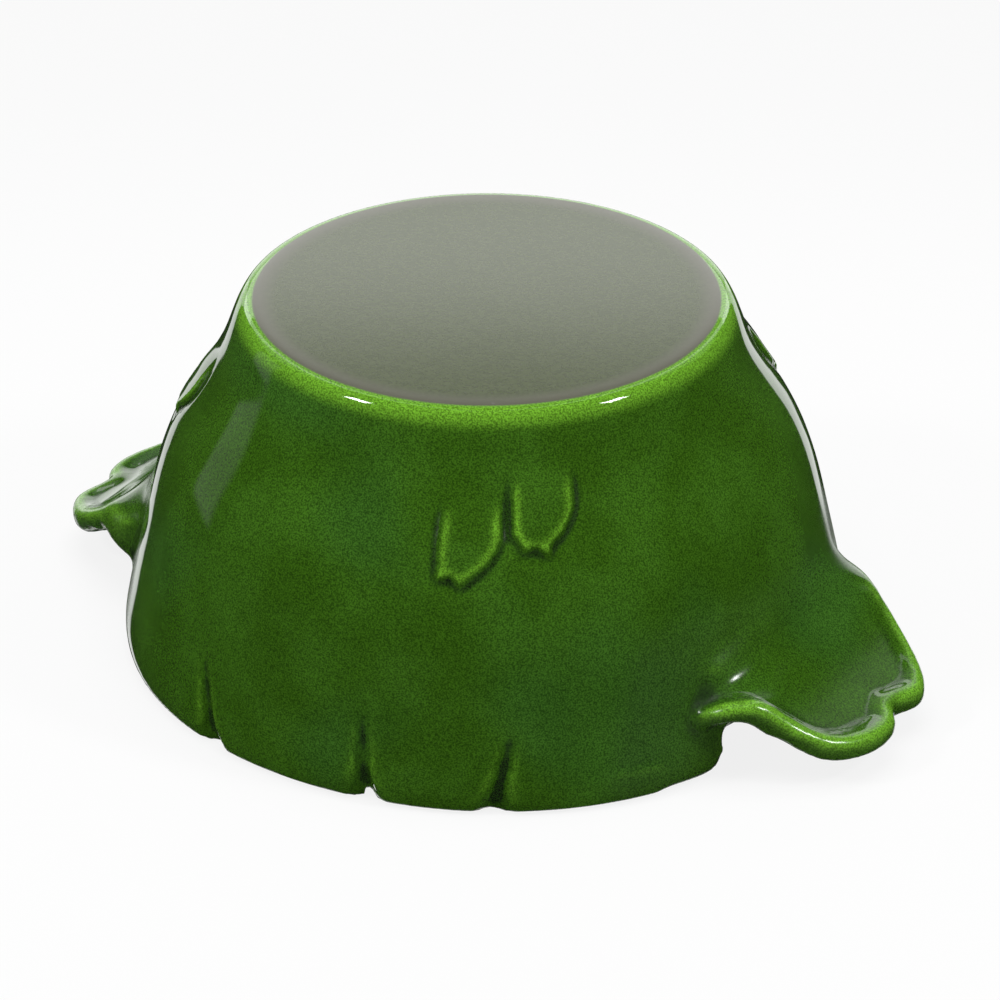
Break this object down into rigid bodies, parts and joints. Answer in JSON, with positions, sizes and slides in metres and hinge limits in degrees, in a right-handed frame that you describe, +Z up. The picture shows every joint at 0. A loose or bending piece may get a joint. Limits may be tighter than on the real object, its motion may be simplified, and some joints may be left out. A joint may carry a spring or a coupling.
{
  "type": "casserole pot",
  "caption": "Round cast iron casserole pot body, enamelled, formed like an artichoke, with leaf handles, standing upside down on its rim.",
  "frame": {"origin": "centre of the rim's standing plane, below the pot, as it stands upside down", "axes": "+Z up from the rim to the flat base, X along the two leaf handles, Y across them"},
  "size_m": [0.2972, 0.223, 0.1182],
  "materials": {
    "green_enamel": "glossy translucent green enamel over cast iron; the flat base is satin grey-green"
  },
  "bodies": {
    "root": {"casserole_pot": "green_enamel"}
  },
  "joints": []
}
